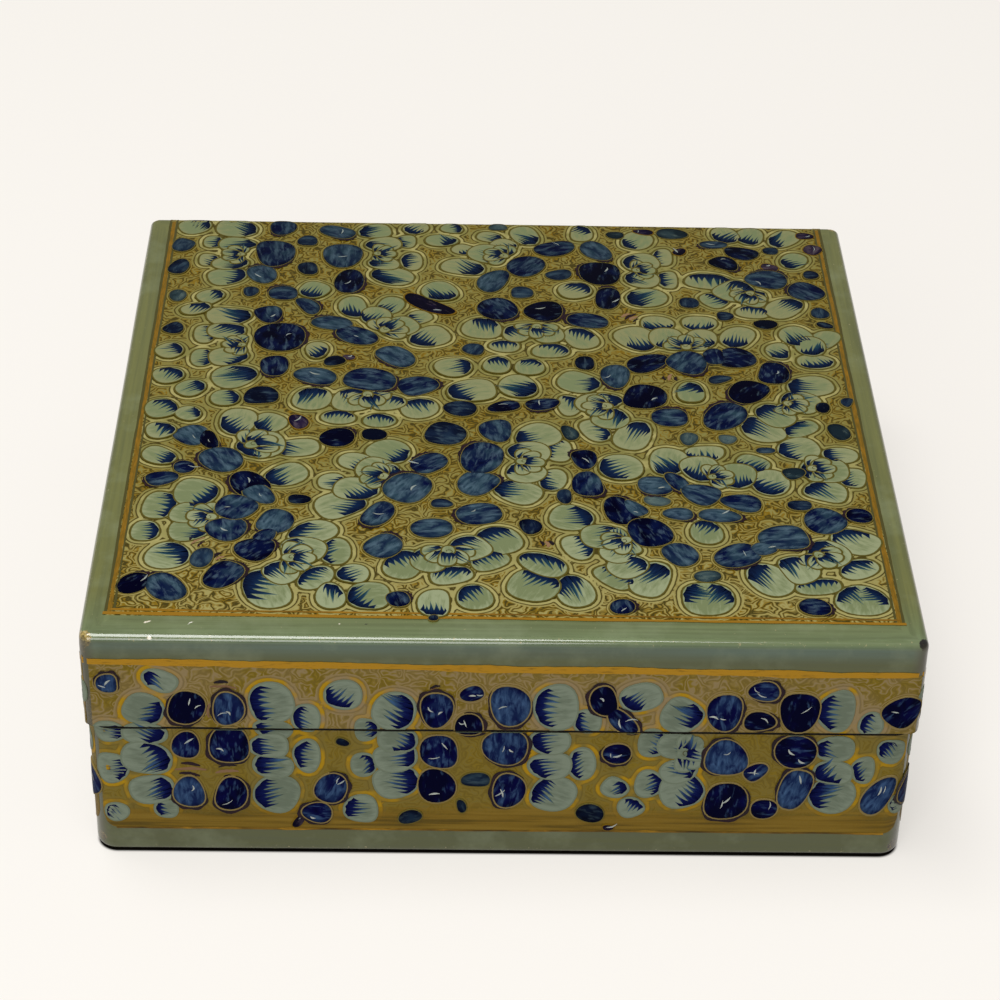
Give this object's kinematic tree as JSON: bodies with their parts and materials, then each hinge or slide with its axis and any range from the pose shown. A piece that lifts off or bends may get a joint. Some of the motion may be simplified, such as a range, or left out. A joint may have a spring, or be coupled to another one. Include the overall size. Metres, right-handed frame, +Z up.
{
  "type": "papier mache box",
  "caption": "Square shallow box of moulded paper pulp with a lift-off lid over an inner collar, painted with flowers outside and lacquered black inside.",
  "frame": {"origin": "on the surface that the box stands on, under the middle of the box", "axes": "+Z up through the lid, -Y towards the front side, +X to the right seen from the front"},
  "size_m": [0.152, 0.152, 0.051],
  "materials": {
    "pulp": "dry moulded paper pulp",
    "painted_skin": "painted paper and gesso under gloss varnish",
    "black_lacquer": "black lacquered paper"
  },
  "bodies": {
    "base": {"base_shell": "pulp", "base_skin": "painted_skin", "underside_paper": "black_lacquer", "base_lining": "black_lacquer", "collar_front": "black_lacquer", "collar_right": "black_lacquer", "collar_back": "black_lacquer", "collar_left": "black_lacquer"},
    "lid": {"lid_shell": "pulp", "lid_skin": "painted_skin", "lid_lining": "black_lacquer"}
  },
  "joints": [
    {"name": "lid_lift", "type": "slide", "parent": "base", "child": "lid", "axis": [0, 0, 1], "range_m": [0, 0.1]}
  ]
}
